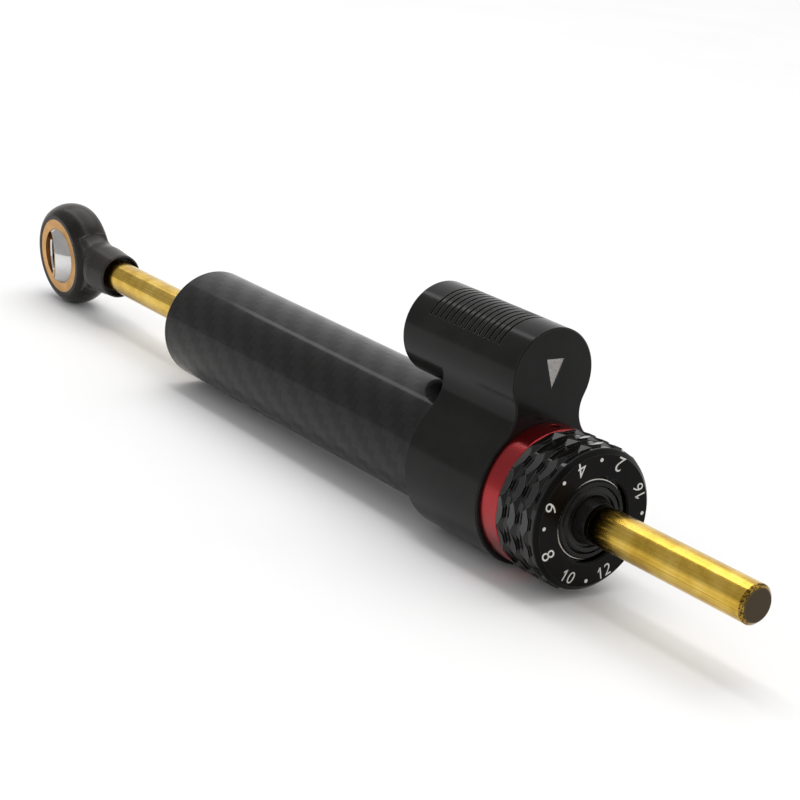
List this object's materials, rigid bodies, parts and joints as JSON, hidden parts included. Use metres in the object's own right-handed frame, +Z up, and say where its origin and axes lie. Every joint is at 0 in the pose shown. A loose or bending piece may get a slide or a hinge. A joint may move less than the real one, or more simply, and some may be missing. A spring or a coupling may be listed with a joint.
{
  "type": "motorcycle steering damper",
  "caption": "Through-rod steering damper with a click adjuster round its rod, a reservoir on its back and a ball rod end.",
  "frame": {"origin": "on the rod's axis, in the middle of the bare tube where the frame clamp grips", "axes": "+X along the rod towards the adjuster knob, +Z up through the reservoir"},
  "size_m": [0.2725, 0.031, 0.0493],
  "materials": {
    "carbon_lacquer": "woven carbon under clear gloss lacquer",
    "black_anodised": "satin black anodised",
    "knob_black": "gloss black anodised, white numerals",
    "ring_red": "satin red anodised",
    "gold_rod": "hard gold coating on ground steel",
    "black_steel": "black oxide, oiled",
    "liner_bronze": "sintered bronze",
    "chromed_ball": "polished chrome",
    "bright_steel": "spring steel, plain",
    "bare_alloy": "plain machined",
    "seal_rubber": "nitrile rubber",
    "bush_bronze": "plain bronze",
    "band_plastic": "filled slide band"
  },
  "bodies": {
    "damper_body": {"damper_tube": "bare_alloy", "tube_o_ring": "seal_rubber", "carbon_sleeve": "carbon_lacquer", "rear_end_cap": "black_anodised", "cap_o_ring": "seal_rubber", "rear_guide_bush": "bush_bronze", "rear_rod_seal": "seal_rubber", "rear_wiper": "seal_rubber", "rear_circlip": "bright_steel", "front_housing": "black_anodised", "front_guide_bush": "bush_bronze", "front_rod_seal": "seal_rubber", "front_wiper": "seal_rubber", "knob_snap_ring": "bright_steel", "reservoir_end_plug": "black_anodised", "plug_o_ring": "seal_rubber", "plug_circlip": "bright_steel", "fill_screw": "bright_steel", "detent_ring": "ring_red", "setting_lock_screw": "black_steel", "ring_screws": "bright_steel", "detent_balls": "bright_steel", "detent_springs": "bright_steel", "knob_stop_pin": "bright_steel", "needle_spring": "bright_steel"},
    "adjuster": {"adjuster_knob": "knob_black", "throttle_cam": "bare_alloy"},
    "needle": {"metering_needle": "bush_bronze", "needle_o_ring": "seal_rubber"},
    "reservoir_piston": {"floating_piston": "bare_alloy", "floating_o_ring": "seal_rubber"},
    "piston": {"piston": "bare_alloy", "piston_band": "band_plastic", "piston_o_ring": "seal_rubber"},
    "rod": {"piston_rod": "gold_rod", "piston_clips": "bright_steel", "rod_end_housing": "black_steel", "rod_end_liner": "liner_bronze"},
    "rod_ball": {"rod_end_ball": "chromed_ball"}
  },
  "joints": [
    {"name": "rod_slide", "type": "slide", "parent": "damper_body", "child": "piston", "axis": [1, 0, 0], "range_m": [-0.0435, 0.0435]},
    {"name": "rod_spin", "type": "hinge", "parent": "piston", "child": "rod", "pos_m": [0, 0, 0], "axis": [1, 0, 0], "continuous": true},
    {"name": "ball_tilt", "type": "hinge", "parent": "rod", "child": "rod_ball", "pos_m": [-0.1173, 0, 0], "axis": [0, -0.1219, 0.9925], "range_deg": [-2, 42]},
    {"name": "knob_turn", "type": "hinge", "parent": "damper_body", "child": "adjuster", "pos_m": [0.09, 0, 0], "axis": [-1, 0, 0], "range_deg": [-45, 292.5]},
    {"name": "needle_lift", "type": "slide", "parent": "damper_body", "child": "needle", "axis": [0, 0, 1], "range_m": [-0.00016, 0.001], "deforming": ["needle_spring"]},
    {"name": "reservoir_piston_slide", "type": "slide", "parent": "damper_body", "child": "reservoir_piston", "axis": [1, 0, 0], "range_m": [-0.003, 0.003]}
  ],
  "couplings": [
    {"joint": "needle_lift", "follows": "knob_turn", "m_per_rad": 0.00019523}
  ]
}
